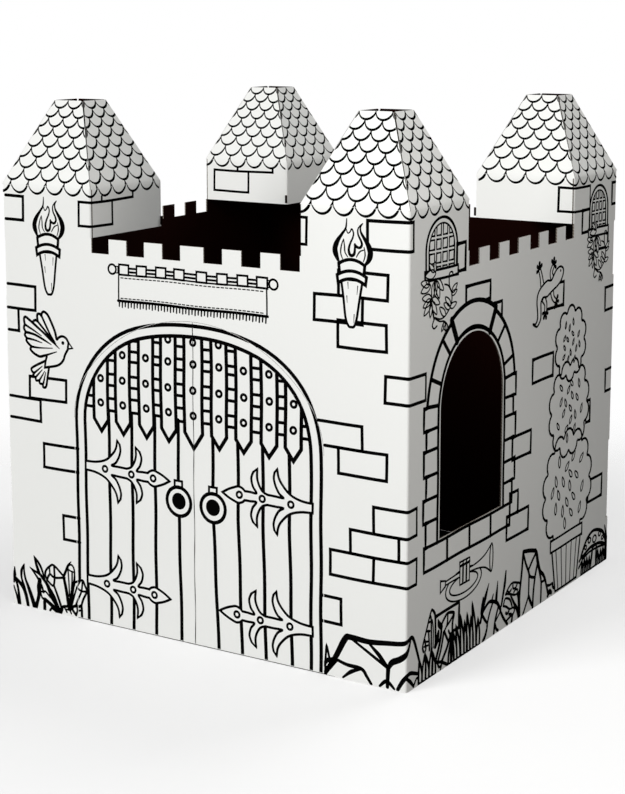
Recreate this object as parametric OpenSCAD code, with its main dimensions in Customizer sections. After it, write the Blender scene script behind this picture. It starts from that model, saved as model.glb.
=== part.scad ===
// Play castle of folded corrugated board: two L-shaped wall sheets with corner towers,
// notched parapets and open-topped roofs, and two hinged door leaves.
// The doors face -Y, the window wall faces +X, and the castle stands on Z = 0.

/* [Castle] */
// Width across the front, over the outer faces
body_w = 1050; // [900:10:1200]
// Depth from front to back, over the outer faces
body_d = 1050; // [900:10:1200]
// Height to the tips of the roofs
total_h = 1170; // [1100:5:1250]
// Thickness of the corrugated board
board_t = 3; // [2:0.5:4]
// Outer radius of the upright folds
fold_r = 6; // [5:0.5:10]

/* [Towers] */
// Width of each square corner tower
tower_w = 255; // [230:5:280]
// Height of the eave, where the roof flaps fold in
eave_h = 983; // [950:1:1020]
// Side of the open square at the top of a roof
roof_top_w = 83; // [60:1:110]
// Level gap from each hip to a roof flap at the eave
hip_gap_low = 4; // [4:0.5:8]
// Level gap from each hip to a roof flap at the top
hip_gap_top = 5; // [4:0.5:8]

/* [Parapet] */
// Height of the notch floors
notch_h = 844; // [800:1:860]
// Height of the merlons over the notch floors
merlon_h = 33; // [20:1:45]
// Width of the middle merlon of each wall
mid_merlon_w = 60; // [40:1:80]

/* [Doors] */
// Width of the doorway between the two hinge folds
door_w = 656; // [560:2:680]
// Height at which the door arch starts
door_spring_h = 468; // [420:1:480]
// Rise of the door arch over its spring
door_rise = 248; // [220:1:260]
// Radius of the door arch at its haunches
door_haunch_r = 170; // [140:1:200]
// Width of the cut around the doors and between them
slit_w = 0.8; // [0.5:0.1:1.5]
// Clearance under the doors
door_foot_gap = 2; // [1:0.5:5]

/* [Window] */
// Width of the window
window_w = 292; // [240:2:320]
// Height of the window sill
window_sill_h = 288; // [240:1:340]
// Height at which the round head of the window starts
window_spring_h = 557; // [500:1:600]
// Distance from the near corner to the middle of the window
window_mid = 281; // [240:1:320]

/* [Seams] */
// Width of the flap glued inside the next wall
seam_flap_w = 45; // [30:1:60]
// Height of the slanted ends of the seam flap
seam_flap_slant = 25; // [10:1:40]
// Distance from the eave down to the top of the seam flap
seam_flap_drop = 10; // [5:1:30]
// Depth of the notches in the free upright edge
seam_notch_d = 12; // [8:1:16]
// Foot of the lower edge notch
low_notch_z = 112; // [80:1:150]
// Height of the lower edge notch
low_notch_h = 199; // [100:1:240]
// Foot of the upper edge notch
high_notch_z = 727; // [680:1:740]
// Height of the upper edge notch
high_notch_h = 134; // [80:1:160]

/* [Corner tabs] */
// Height of the tab at the inner corner of a tower
tab_h = 20; // [12:1:30]
// Distance from the foot of a tower face up to its tab
tab_foot = 4; // [3:0.5:10]
// Length of the tab past the corner
tab_out = 6; // [4:0.5:10]
// Clearance between the two inner faces where they butt at the corner
butt_gap = 0.4; // [0.2:0.1:1]

/* [Hidden] */
// Smoothness of the small folds and of the large arches
fold_fn = 48;
arch_fn = 160;
// Overshoot of a cut past the board
over = 1;
// Tops of the merlons, which are also the feet of the inner tower faces
merlon_top_h = notch_h + merlon_h;
// Notches in one wall, and the parts of equal width that they share with the side merlons
notch_n = 6;
equal_parts = 2 * notch_n - 2;
// Roof flap: run inwards, rise, slant length and lean from the upright
roof_run = (tower_w - roof_top_w) / 2;
roof_rise = total_h - eave_h;
roof_slant = sqrt(roof_run * roof_run + roof_rise * roof_rise);
roof_lean = atan(roof_run / roof_rise);
// Door arch: half width, radius of the crown that is tangent to both haunches
door_half = door_w / 2;
crown_r = (door_half * door_half + door_rise * door_rise - 2 * door_half * door_haunch_r)
    / (2 * (door_rise - door_haunch_r));
board_white = [0.93, 0.93, 0.91];
door_white = [0.91, 0.91, 0.89];

// Width of a notch, or of a side merlon, in a wall of length len
function part_w(len) = (len - 2 * tower_w - mid_merlon_w) / equal_parts;

// Start of notch k along a wall of length len
function notch_x(len, k) = tower_w + 2 * k * part_w(len)
    + (k >= notch_n / 2 ? mid_merlon_w - part_w(len) : 0);

// Quarter of a tube that stands for an upright fold. sx and sy pick the quadrant.
module upright_fold(cx, cy, sx, sy, foot, head) {
    translate([cx, cy, foot])
        intersection() {
            difference() {
                cylinder(r = fold_r, h = head - foot, $fn = fold_fn);
                translate([0, 0, -over])
                    cylinder(r = fold_r - board_t, h = head - foot + 2 * over, $fn = fold_fn);
            }
            translate([sx < 0 ? -fold_r : 0, sy < 0 ? -fold_r : 0, 0])
                cube([fold_r, fold_r, head - foot]);
        }
}

// Roof flap whose outer face starts on the X axis and leans towards +Y
module roof_flap() {
    low = tower_w / 2 - hip_gap_low;
    top = roof_top_w / 2 - hip_gap_top;
    rotate([-roof_lean, 0, 0])
        translate([0, board_t, 0])
            rotate([90, 0, 0])
                linear_extrude(board_t)
                    polygon([[-low, 0], [low, 0], [top, roof_slant], [-top, roof_slant]]);
}

// Board of one wall with its parapet. The outer face lies on Y = 0 and X runs along the wall.
module wall_board(len, from, to) {
    difference() {
        translate([from, 0, 0])
            cube([to - from, board_t, eave_h]);
        translate([tower_w - fold_r, -over, merlon_top_h])
            cube([len - 2 * tower_w + 2 * fold_r, board_t + 2 * over, eave_h]);
        for (k = [0 : notch_n - 1])
            translate([notch_x(len, k), -over, notch_h])
                cube([part_w(len), board_t + 2 * over, merlon_h + over]);
    }
}

// Inner tower face folded off the start of a wall. Its free edge butts against the next face.
module start_face() {
    upright_fold(tower_w - fold_r, fold_r, 1, -1, merlon_top_h, eave_h);
    translate([tower_w - board_t, fold_r, merlon_top_h])
        cube([board_t, tower_w - fold_r - board_t - butt_gap, eave_h - merlon_top_h]);
    translate([tower_w, tower_w / 2, eave_h])
        rotate([0, 0, 90])
            roof_flap();
}

// Inner tower face folded off the end of a wall. It covers the other face's free edge, and its
// tab reaches past that corner.
module end_face(len) {
    upright_fold(len - tower_w + fold_r, fold_r, -1, -1, merlon_top_h, eave_h);
    translate([len - tower_w, fold_r, merlon_top_h])
        cube([board_t, tower_w - fold_r, eave_h - merlon_top_h]);
    translate([len - tower_w, tower_w / 2, merlon_top_h + tab_foot])
        cube([board_t, tower_w / 2 + tab_out, tab_h]);
    translate([len - tower_w, tower_w / 2, eave_h])
        rotate([0, 0, -90])
            roof_flap();
}

// One whole wall: board, inner faces of its two towers and the roof flaps over its outer face
module wall(len, from, to) {
    wall_board(len, from, to);
    start_face();
    end_face(len);
    translate([tower_w / 2, 0, eave_h])
        roof_flap();
    translate([len - tower_w / 2, 0, eave_h])
        roof_flap();
}

// Flap at the start of a sheet, glued inside the free end of the other sheet
module seam_flap() {
    upright_fold(board_t + fold_r, fold_r, -1, -1, 0, eave_h);
    head = eave_h - seam_flap_drop;
    translate([board_t, 0, 0])
        rotate([90, 0, 90])
            linear_extrude(board_t)
                polygon([[fold_r, 0], [seam_flap_w, seam_flap_slant],
                    [seam_flap_w, head - seam_flap_slant], [fold_r, head]]);
}

// Outline of the doorway as a slab of the given depth. The arch and the foot move in by inset.
module door_form(inset, depth) {
    tangent_x = (crown_r - inset) * (door_half - door_haunch_r) / (crown_r - door_haunch_r);
    translate([-door_half, 0, 0])
        cube([door_w, depth, door_spring_h]);
    for (s = [-1, 1])
        translate([s * (door_half - door_haunch_r), 0, door_spring_h])
            rotate([-90, 0, 0])
                cylinder(r = door_haunch_r - inset, h = depth, $fn = arch_fn);
    intersection() {
        translate([0, 0, door_spring_h + door_rise - crown_r])
            rotate([-90, 0, 0])
                cylinder(r = crown_r - inset, h = depth, $fn = arch_fn);
        translate([-tangent_x, 0, door_spring_h])
            cube([2 * tangent_x, depth, door_rise]);
    }
}

// Window with a half-round head, as a slab of the given depth
module window_form(depth) {
    translate([-window_w / 2, 0, window_sill_h])
        cube([window_w, depth, window_spring_h - window_sill_h]);
    translate([0, 0, window_spring_h])
        rotate([-90, 0, 0])
            cylinder(r = window_w / 2, h = depth, $fn = arch_fn);
}

// One L-shaped sheet, standing on its first wall's outer face along X
module sheet(with_openings) {
    difference() {
        union() {
            seam_flap();
            wall(body_w, board_t + fold_r, body_w - fold_r);
            upright_fold(body_w - fold_r, fold_r, 1, -1, 0, eave_h);
            translate([body_w, 0, 0])
                rotate([0, 0, 90])
                    wall(body_d, fold_r, body_d - fold_r);
        }
        if (with_openings)
            translate([body_w / 2, -over, -over])
                union() {
                    translate([0, 0, over])
                        door_form(0, board_t + 2 * over);
                    translate([-door_half, 0, 0])
                        cube([door_w, board_t + 2 * over, 2 * over]);
                }
        if (with_openings)
            translate([body_w + over, window_mid, 0])
                rotate([0, 0, 90])
                    window_form(board_t + 2 * over);
        for (n = [[low_notch_z, low_notch_h], [high_notch_z, high_notch_h]])
            translate([body_w - board_t, body_d - fold_r - seam_notch_d, n[0]])
                cube([board_t + over, seam_notch_d + over, n[1]]);
    }
}

// One door leaf in its wall, closed. side is -1 for the left leaf and 1 for the right one.
module door_leaf(side) {
    translate([0, -body_d / 2, 0])
        intersection() {
            door_form(slit_w, board_t);
            translate([side < 0 ? -door_half : slit_w / 2, -over, door_foot_gap])
                cube([door_half - slit_w / 2, board_t + 2 * over, door_spring_h + door_rise]);
        }
}

module front_right_walls() {
    color(board_white)
        translate([-body_w / 2, -body_d / 2, 0])
            sheet(true);
}

module back_left_walls() {
    color(board_white)
        rotate([0, 0, 180])
            translate([-body_w / 2, -body_d / 2, 0])
                sheet(false);
}

module left_door() {
    color(door_white)
        door_leaf(-1);
}

module right_door() {
    color(door_white)
        door_leaf(1);
}

front_right_walls();
back_left_walls();
left_door();
right_door();
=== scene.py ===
import math
import random

import bpy
from mathutils import Euler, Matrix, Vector


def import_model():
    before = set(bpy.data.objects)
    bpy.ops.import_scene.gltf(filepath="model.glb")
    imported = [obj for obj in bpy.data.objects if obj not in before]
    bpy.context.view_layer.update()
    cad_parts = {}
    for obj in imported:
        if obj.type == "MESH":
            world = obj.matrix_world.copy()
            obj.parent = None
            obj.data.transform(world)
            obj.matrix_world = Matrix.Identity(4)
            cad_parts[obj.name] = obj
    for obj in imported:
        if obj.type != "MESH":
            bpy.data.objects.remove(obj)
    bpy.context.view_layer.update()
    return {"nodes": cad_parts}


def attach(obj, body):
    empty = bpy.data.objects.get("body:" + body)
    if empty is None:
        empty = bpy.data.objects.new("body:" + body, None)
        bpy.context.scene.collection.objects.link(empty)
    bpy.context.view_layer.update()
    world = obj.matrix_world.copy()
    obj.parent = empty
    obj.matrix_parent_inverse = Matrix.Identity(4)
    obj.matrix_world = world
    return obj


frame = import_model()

# Sizes of the castle, in millimetres
MM = 0.001
WALL = 1050.0
TOWER = 255.0
EAVE = 983.0
FACE_FOOT = 877.0
ROOF_RISE = 187.0
ROOF_TOP = 83.0
FOLD = 6.0
DOOR_MID = 525.0
DOOR_HALF = 328.0
DOOR_SPRING = 468.0
DOOR_RISE = 248.0
DOOR_HAUNCH = 170.0
WINDOW_MID = 281.0
WINDOW_HALF = 146.0
WINDOW_SILL = 288.0
WINDOW_SPRING = 557.0

# Printed arch of the door, and the height from which it is measured
PRINT_HALF = 321.0
PRINT_SPRING = 465.0
PRINT_TOP = 707.5
PRINT_HAUNCH = 230.0
PRINT_BAND = 24.0
ARCH_PEN = 7.4
ARCH_FOOT = 400.0
ARCH_STEP = 1.5

# Bare strips that the print leaves at the foot and at the door's cuts
PRINT_FOOT = 0.3
WALL_BARE = 0.3
ARCH_WALL_BARE = 0.2
ARCH_LEAF_BARE = 1.0
LEAF_BARE = 0.9
LEAF_TOP_BARE = 1.5
LEAF_MIDDLE = 0.45
LEAF_FOOT = 3.0

# Sizes worked out from those above
ROOF_RUN = (TOWER - ROOF_TOP) / 2
ROOF_SLANT = math.hypot(ROOF_RUN, ROOF_RISE)
ROOF_LEAN = math.atan2(ROOF_RUN, ROOF_RISE)
TOWER_MID = (WALL - TOWER) / 2
CORNERS = {
    "front_left": (-TOWER_MID, -TOWER_MID),
    "front_right": (TOWER_MID, -TOWER_MID),
    "back_right": (TOWER_MID, TOWER_MID),
    "back_left": (-TOWER_MID, TOWER_MID),
}

# Pens, in millimetres, and how much level and upright lines are widened on each wall
THICK = 8.2
BOLD = 6.2
PEN = 4.8
FINE = 3.0
HAIR = 2.0
TILE_PEN = (2, 3.2, 5.6, 5.8, 2.8)
EVEN = (1.0, 1.0)
FRONT_BOLD = (1.15, 1.15)
SIDE_BOLD = (1.2, 1.6)
FOOT_BOLD = (1.3, 1.75)

# Ink over the board: its height, the step between layers, and the fineness of its lines
INK = 0
PAPER = 1
LIFT = 0.08
LAYER = 0.04
HAND_SHIFT = 0.7
LINE_STEP = 18.0
FOLD_STEP = 1.5
FOLD_STRIPS = 6
SAME_SPOT = 0.05
MITRE = 0.6
SMALLEST_CAP = 0.6

# Directions along and out of the four sides of an upright square tube, from the front one on
SIDES = [
    (Vector((1, 0, 0)), Vector((0, -1, 0))),
    (Vector((0, 1, 0)), Vector((1, 0, 0))),
    (Vector((-1, 0, 0)), Vector((0, 1, 0))),
    (Vector((0, -1, 0)), Vector((-1, 0, 0))),
]
UP = Vector((0, 0, 1))


def box(u0, v0, u1, v1):
    """Corners of an upright rectangle, anticlockwise."""
    return [(u0, v0), (u1, v0), (u1, v1), (u0, v1)]


# Printed height of the walls, all the way round and on each side of the doorway
WALL_AREA = box(-50.0, PRINT_FOOT, 4 * WALL + 50, EAVE)
LEFT_OF_DOOR = box(-50.0, PRINT_FOOT, DOOR_MID - DOOR_HALF - WALL_BARE, EAVE)
RIGHT_OF_DOOR = box(DOOR_MID + DOOR_HALF + WALL_BARE, PRINT_FOOT, 1.5 * WALL, EAVE)


# Faces of the board that carry print

def around(mid_x, mid_y, side):
    """Way round a square tube with rounded folds. u runs from its front left corner, v is the height."""
    middle = Vector((mid_x, mid_y, 0))

    def place(u, v):
        along, out = SIDES[int(u // side) % 4]
        t = u % side
        bend = 0.0
        if t < FOLD:
            bend = math.radians(45) * (t - FOLD) / FOLD
        elif t > side - FOLD:
            bend = math.radians(45) * (t - side + FOLD) / FOLD
        flat = min(max(t, FOLD), side - FOLD)
        normal = out * math.cos(bend) + along * math.sin(bend)
        spot = middle + along * (flat - side / 2) + out * (side / 2 - FOLD) + normal * FOLD + UP * v
        return spot * MM, normal

    return place


def roof_side(mid_x, mid_y, number):
    """Face of a roof flap. u runs from the middle of its eave, v up the slope."""
    along, out = SIDES[number]
    start = Vector((mid_x, mid_y, EAVE)) + out * (TOWER / 2)
    slope = UP * math.cos(ROOF_LEAN) - out * math.sin(ROOF_LEAN)
    normal = out * math.cos(ROOF_LEAN) + UP * math.sin(ROOF_LEAN)

    def place(u, v):
        return (start + along * u + slope * v) * MM, normal

    return place


# Curves of the drawings

def compass(turn):
    """Cosine and sine of an angle in degrees."""
    return math.cos(math.radians(turn)), math.sin(math.radians(turn))


def arc(mid_u, mid_v, wide, high, start, end, steps=16):
    """Points on an upright ellipse, from one angle to another in degrees."""
    points = []
    for i in range(steps + 1):
        c, s = compass(start + (end - start) * i / steps)
        points.append((mid_u + wide * c, mid_v + high * s))
    return points


def oval(mid_u, mid_v, wide, high, steps=24):
    """Points all round an upright ellipse."""
    return arc(mid_u, mid_v, wide, high, 0, 360, steps)[:-1]


def smooth(points, closed=False, steps=6):
    """Rounded curve through a few points."""
    count = len(points)
    curve = []
    for i in range(count if closed else count - 1):
        if closed:
            four = [points[(i + k) % count] for k in (-1, 0, 1, 2)]
        else:
            four = [points[min(max(i + k, 0), count - 1)] for k in (-1, 0, 1, 2)]
        for step in range(steps):
            t = step / steps
            weights = (
                -0.5 * t ** 3 + t ** 2 - 0.5 * t,
                1.5 * t ** 3 - 2.5 * t ** 2 + 1,
                -1.5 * t ** 3 + 2 * t ** 2 + 0.5 * t,
                0.5 * t ** 3 - 0.5 * t ** 2,
            )
            curve.append(tuple(sum(w * p[axis] for w, p in zip(weights, four)) for axis in (0, 1)))
    if not closed:
        curve.append(tuple(points[-1]))
    return curve


def moved(points, u=0.0, v=0.0, turn=0.0, wide=1.0, high=1.0):
    """Points scaled, turned by degrees and shifted."""
    c, s = compass(turn)
    return [(u + x * wide * c - y * high * s, v + x * wide * s + y * high * c) for x, y in points]


def along_path(path, closed):
    """Distances along a path. The last one is its whole length."""
    marks = [0.0]
    ends = path + path[:1] if closed else path
    for a, b in zip(ends, ends[1:]):
        marks.append(marks[-1] + math.dist(a[:2], b[:2]))
    return marks


def hand_drawn(u, v):
    """A point shifted a little, as an even hand would."""
    shift_u = HAND_SHIFT * math.sin(v * 0.033 + 1.7 * math.sin(u * 0.011))
    shift_v = HAND_SHIFT * math.sin(u * 0.029 + 1.3 * math.sin(v * 0.013) + 2.0)
    return u + shift_u, v + shift_v


def pen_width(width, share):
    """Width of the pen at a share of the way, from one number or a row of evenly spaced ones."""
    if isinstance(width, (int, float)):
        return width
    spot = share * (len(width) - 1)
    i = min(int(spot), len(width) - 2)
    return width[i] + (width[i + 1] - width[i]) * (spot - i)


def inside(spot, shape):
    """True if a point lies inside a convex shape given anticlockwise."""
    for p, q in zip(shape, shape[1:] + shape[:1]):
        if (q[0] - p[0]) * (spot[1] - p[1]) - (q[1] - p[1]) * (spot[0] - p[0]) < 0:
            return False
    return True


def cut_area(points, shape):
    """The part of an area inside a convex shape given anticlockwise."""
    for p, q in zip(shape, shape[1:] + shape[:1]):
        kept = []
        sides = [(q[0] - p[0]) * (v - p[1]) - (q[1] - p[1]) * (u - p[0]) for u, v in points]
        for i, spot in enumerate(points):
            last, last_side = points[i - 1], sides[i - 1]
            if (sides[i] < 0) != (last_side < 0):
                t = last_side / (last_side - sides[i])
                kept.append(tuple(a + (b - a) * t for a, b in zip(last, spot)))
            if sides[i] >= 0:
                kept.append(spot)
        points = kept
        if len(points) < 3:
            return []
    return points


class Print:
    """Ink and bare paper drawn on one face of the board, cut to the shapes in clip.

    bold widens the pen in level and in upright lines.
    """

    def __init__(self, place, fold_pitch=0.0, clip=(), bold=EVEN):
        self.place = place
        self.fold_pitch = fold_pitch
        self.bold = bold
        self.clip = list(clip)
        self.spots = []
        self.known = {}
        self.faces = []
        self.tones = []

    def spot(self, u, v, lift):
        """Gives the number of a point, adding it if it is new."""
        key = (round(u, 3), round(v, 3), round(lift, 4))
        if key not in self.known:
            place, normal = self.place(u, v)
            self.known[key] = len(self.spots)
            self.spots.append(place + normal * (lift * MM))
        return self.known[key]

    def face(self, points, tone, lift, shapes):
        """Adds one flat face, cut to convex shapes."""
        for shape in shapes:
            if not all(inside(spot, shape) for spot in points):
                points = cut_area(points, shape)
        numbers = []
        for u, v in points:
            number = self.spot(u, v, lift)
            if number not in numbers:
                numbers.append(number)
        if len(numbers) > 2:
            self.faces.append(tuple(numbers))
            self.tones.append(tone)

    def crosses_fold(self, a, b):
        """True if a stretch of line comes close to an upright fold, where it needs more points."""
        if not self.fold_pitch:
            return False
        low, high = min(a, b) - 2 * FOLD, max(a, b) + 2 * FOLD
        return low // self.fold_pitch != high // self.fold_pitch

    def refined(self, path, width, closed):
        """The path with points close enough together, shifted by hand and with the pen's width."""
        marks = along_path(path, closed)
        whole = marks[-1] or 1.0
        ends = path + path[:1] if closed else path
        fine = []
        for a, b, mark, next_mark in zip(ends, ends[1:], marks, marks[1:]):
            length = next_mark - mark
            steep = abs(b[1] - a[1]) / (length or 1.0)
            bold = self.bold[0] + (self.bold[1] - self.bold[0]) * steep
            step = FOLD_STEP if self.crosses_fold(a[0], b[0]) else LINE_STEP
            count = max(1, math.ceil(length / step))
            for i in range(count):
                t = i / count
                u, v = hand_drawn(a[0] + (b[0] - a[0]) * t, a[1] + (b[1] - a[1]) * t)
                fine.append((u, v, bold * pen_width(width, (mark + length * t) / whole)))
        if not closed:
            u, v = hand_drawn(*path[-1][:2])
            fine.append((u, v, bold * pen_width(width, 1.0)))
        return fine

    def line(self, path, width=PEN, layer=0.0, clip=(), closed=False):
        """Draws a line of ink, as a flat band along a path."""
        shapes = self.clip + list(clip)
        lone = []
        for spot in self.refined(list(path), width, closed):
            if not lone or math.dist(spot[:2], lone[-1][:2]) > SAME_SPOT:
                lone.append(spot)
        count = len(lone)
        if count < 2:
            return
        lift = LIFT + LAYER * (layer + 0.5)
        bent = any(self.crosses_fold(u - width, u + width) for u, v, width in lone)
        strips = FOLD_STRIPS if bent else 1
        rows = []
        for i, (u, v, width) in enumerate(lone):
            before = lone[i - 1] if closed or i else lone[i]
            after = lone[(i + 1) % count] if closed or i < count - 1 else lone[i]
            way_in = Vector((u - before[0], v - before[1])).normalized()
            way_out = Vector((after[0] - u, after[1] - v)).normalized()
            way = way_in + way_out
            if way.length < 0.01:
                way = way_out
            way.normalize()
            half = width / 2 / max(way.dot(way_out if way_out.length else way_in), MITRE)
            row = []
            for k in range(strips + 1):
                aside = half * (1 - 2 * k / strips)
                row.append((u - way.y * aside, v + way.x * aside))
            rows.append((row, u, v, way, width / 2))
        pairs = list(zip(rows, rows[1:]))
        if closed:
            pairs.append((rows[-1], rows[0]))
        for (a, *_), (b, *_) in pairs:
            for k in range(strips):
                self.face([a[k + 1], b[k + 1], b[k], a[k]], INK, lift, shapes)
        if closed:
            return
        for end, sign in ((rows[0], -1), (rows[-1], 1)):
            row, u, v, way, half = end
            if half < SMALLEST_CAP:
                continue
            tip = []
            for turn in (-45, 0, 45):
                reach, aside = (sign * half * share for share in compass(turn))
                tip.append((u + way.x * reach - way.y * aside, v + way.y * reach + way.x * aside))
            cap = [row[-1], *tip, row[0]] if sign > 0 else [row[0], *tip, row[-1]]
            self.face(cap, INK, lift, shapes)

    def area(self, points, tone=INK, layer=0.0, clip=()):
        """Fills an area with ink, or lays bare paper over what lies under it."""
        points = [hand_drawn(u, v) for u, v in points]
        turn = sum(a[0] * b[1] - b[0] * a[1] for a, b in zip(points, points[1:] + points[:1]))
        if turn < 0:
            points = points[::-1]
        lift = LIFT + LAYER * (layer + (0.5 if tone == INK else 0.0))
        self.face(points, tone, lift, self.clip + list(clip))

    def shape(self, points, width=PEN, layer=1.0, clip=()):
        """Outline in ink round bare paper."""
        self.area(points, PAPER, layer, clip)
        self.line(points, width, layer, clip, True)

    def disc(self, u, v, radius, layer):
        """Round spot of ink."""
        self.area(oval(u, v, radius, radius, 20), INK, layer)

    def circle(self, u, v, radius, width=PEN, layer=1.0):
        """Round outline over bare paper."""
        self.shape(oval(u, v, radius, radius), width, layer)

    def tube(self, path, widths, pen=FINE, layer=1.0):
        """Outline of a limb or stem of changing thickness along a path."""
        marks = along_path(path, False)
        left, right = [], []
        for i, (u, v) in enumerate(path):
            a, b = path[max(i - 1, 0)], path[min(i + 1, len(path) - 1)]
            way = Vector((b[0] - a[0], b[1] - a[1])).normalized()
            half = pen_width(widths, marks[i] / marks[-1]) / 2
            left.append((u - way.y * half, v + way.x * half))
            right.append((u + way.y * half, v - way.x * half))
        self.shape(left + right[::-1], pen, layer)

    def block(self, u0, v0, u1, v1, sides="brtl"):
        """Stone of the wall. sides names the edges that are drawn, which follow one another."""
        corners = box(u0, v0, u1, v1)
        if len(sides) == 4:
            self.line(corners, BOLD, closed=True)
            return
        order = "brtl"
        first = next(k for k in range(4) if order[k] in sides and order[k - 1] not in sides)
        self.line([corners[(first + k) % 4] for k in range(len(sides) + 1)], BOLD)

    def piece(self, name, body):
        """Makes the mesh, on the body that carries it."""
        mesh = bpy.data.meshes.new(name)
        mesh.from_pydata([tuple(s) for s in self.spots], [], self.faces)
        mesh.polygons.foreach_set("material_index", self.tones)
        for material in PRINT_SET:
            mesh.materials.append(material)
        made = bpy.data.objects.new(name, mesh)
        bpy.context.scene.collection.objects.link(made)
        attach(made, body)


# Materials

LEVEL = (1.0, 1.0, 0.0)
FLUTE_SCALE = 90.0
EAVE_BEND = 16.0


def node(tree, kind, inputs=(), **values):
    """Adds a shader node. Values are its properties, inputs its sockets by name or number."""
    made = tree.nodes.new("ShaderNode" + kind)
    for name, value in values.items():
        setattr(made, name, value)
    for name, value in dict(inputs).items():
        made.inputs[name].default_value = value
    return made


def wire(tree, *links):
    """Joins nodes. Each link is a node, its output, the next node and its input."""
    for source, output, target, socket in links:
        tree.links.new(source.outputs[output], target.inputs[socket])


def fibre_group():
    """Cloudy tone and small fibres of a paper liner, with the flutes of the board showing through."""
    group = bpy.data.node_groups.new("paper_fibres", "ShaderNodeTree")
    for name, way in (("Cloud Scale", "INPUT"), ("Flute Share", "INPUT"),
                      ("Tone", "OUTPUT"), ("Height", "OUTPUT")):
        group.interface.new_socket(name, in_out=way, socket_type="NodeSocketFloat")
    inputs = group.nodes.new("NodeGroupInput")
    outputs = group.nodes.new("NodeGroupOutput")
    place = node(group, "TexCoord")
    cloud = node(group, "TexNoise", {"Detail": 5.0, "Roughness": 0.6})
    fibre = node(group, "TexNoise", {"Scale": 420.0, "Detail": 3.0})
    flute = node(group, "TexWave", {"Scale": FLUTE_SCALE, "Distortion": 0.15}, bands_direction="DIAGONAL")
    flat = node(group, "VectorMath", {1: LEVEL}, operation="MULTIPLY")
    mixed = node(group, "Mix", {"Factor": 0.35}, data_type="FLOAT")
    height = node(group, "Math", operation="MULTIPLY_ADD")
    wire(group, (place, "Object", cloud, "Vector"), (place, "Object", fibre, "Vector"),
         (place, "Object", flat, 0), (flat, "Vector", flute, "Vector"),
         (inputs, "Cloud Scale", cloud, "Scale"), (cloud, "Fac", mixed, "A"), (fibre, "Fac", mixed, "B"),
         (flute, "Fac", height, 0), (inputs, "Flute Share", height, 1), (fibre, "Fac", height, 2),
         (mixed, "Result", outputs, "Tone"), (height, "Value", outputs, "Height"))
    return group


def eave_group():
    """Normal that leans over gently at the eave, where the board is bent without a sharp crease."""
    group = bpy.data.node_groups.new("soft_eave", "ShaderNodeTree")
    group.interface.new_socket("Normal", in_out="OUTPUT", socket_type="NodeSocketVector")
    outputs = group.nodes.new("NodeGroupOutput")
    place = node(group, "TexCoord")
    parts = node(group, "SeparateXYZ")
    low, high = (EAVE - EAVE_BEND) * MM, (EAVE + EAVE_BEND) * MM
    bend = node(group, "MapRange", {"From Min": low, "From Max": high, "To Max": ROOF_LEAN},
                interpolation_type="SMOOTHSTEP")
    up = node(group, "Math", operation="SINE")
    aside = node(group, "Math", operation="COSINE")
    surface = node(group, "NewGeometry")
    level = node(group, "VectorMath", {1: LEVEL}, operation="MULTIPLY")
    unit = node(group, "VectorMath", operation="NORMALIZE")
    out = node(group, "VectorMath", operation="SCALE")
    upward = node(group, "CombineXYZ")
    both = node(group, "VectorMath", operation="ADD")
    wire(group, (place, "Object", parts, "Vector"), (parts, "Z", bend, "Value"),
         (bend, "Result", up, 0), (bend, "Result", aside, 0),
         (surface, "Normal", level, 0), (level, "Vector", unit, 0), (unit, "Vector", out, 0),
         (aside, "Value", out, "Scale"), (up, "Value", upward, "Z"),
         (out, "Vector", both, 0), (upward, "Vector", both, 1), (both, "Vector", outputs, "Normal"))
    return group


def board_material(name, fibres, dark, light, rough, bump, shine=0.3):
    """Paper surface between two colours, with its roughness, bump and shine."""
    material = bpy.data.materials.new(name)
    material.use_nodes = True
    tree = material.node_tree
    shader = tree.nodes["Principled BSDF"]
    shader.inputs["Specular IOR Level"].default_value = shine
    paper = node(tree, "Group", {"Cloud Scale": 5.0, "Flute Share": 0.6}, node_tree=fibres)
    colour = node(tree, "Mix", {"A": (*dark, 1.0), "B": (*light, 1.0)}, data_type="RGBA")
    spread = node(tree, "MapRange", {"From Min": 0.3, "From Max": 0.7,
                                     "To Min": rough[0], "To Max": rough[1]})
    relief = node(tree, "Bump", {"Strength": bump, "Distance": 0.0004})
    wire(tree, (paper, "Tone", colour, "Factor"), (colour, "Result", shader, "Base Color"),
         (paper, "Tone", spread, "Value"), (spread, "Result", shader, "Roughness"),
         (paper, "Height", relief, "Height"), (relief, "Normal", shader, "Normal"))
    return material


def white_liner(fibres):
    """White outer paper, bent softly at the eave."""
    material = board_material("white_liner", fibres, (0.83, 0.835, 0.81), (0.88, 0.885, 0.86),
                              (0.62, 0.78), 0.12)
    tree = material.node_tree
    eave = node(tree, "Group", node_tree=eave_group())
    wire(tree, (eave, "Normal", tree.nodes["Bump"], "Normal"))
    return material


def inner_liner_painted_shade(fibres):
    """Inner paper with a faint brown tint, painted nearly black as painted shade for the deep shade inside
    the walls.
    """
    return board_material("inner_liner_painted_shade", fibres, (0.003, 0.0005, 0.0003), (0.012, 0.002, 0.001),
                          (0.85, 0.95), 0.3, 0.02)


def cut_edge(fibres):
    """Cut edge of the board: pale liners with the wavy core between them."""
    material = board_material("cut_edge", fibres, (0.1, 0.08, 0.065), (0.3, 0.27, 0.23), (0.8, 0.95), 0.5)
    tree = material.node_tree
    colour = next(n for n in tree.nodes if n.type == "MIX")
    place = node(tree, "TexCoord")
    flute = node(tree, "TexWave", {"Scale": FLUTE_SCALE}, bands_direction="DIAGONAL")
    wire(tree, (place, "Object", flute, "Vector"), (flute, "Fac", colour, "Factor"))
    return material


def black_ink(fibres):
    """Matt printing ink."""
    return board_material("black_ink", fibres, (0.0008, 0.0008, 0.0008), (0.0026, 0.0026, 0.0026),
                          (0.6, 0.8), 0.1, 0.0)


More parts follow.
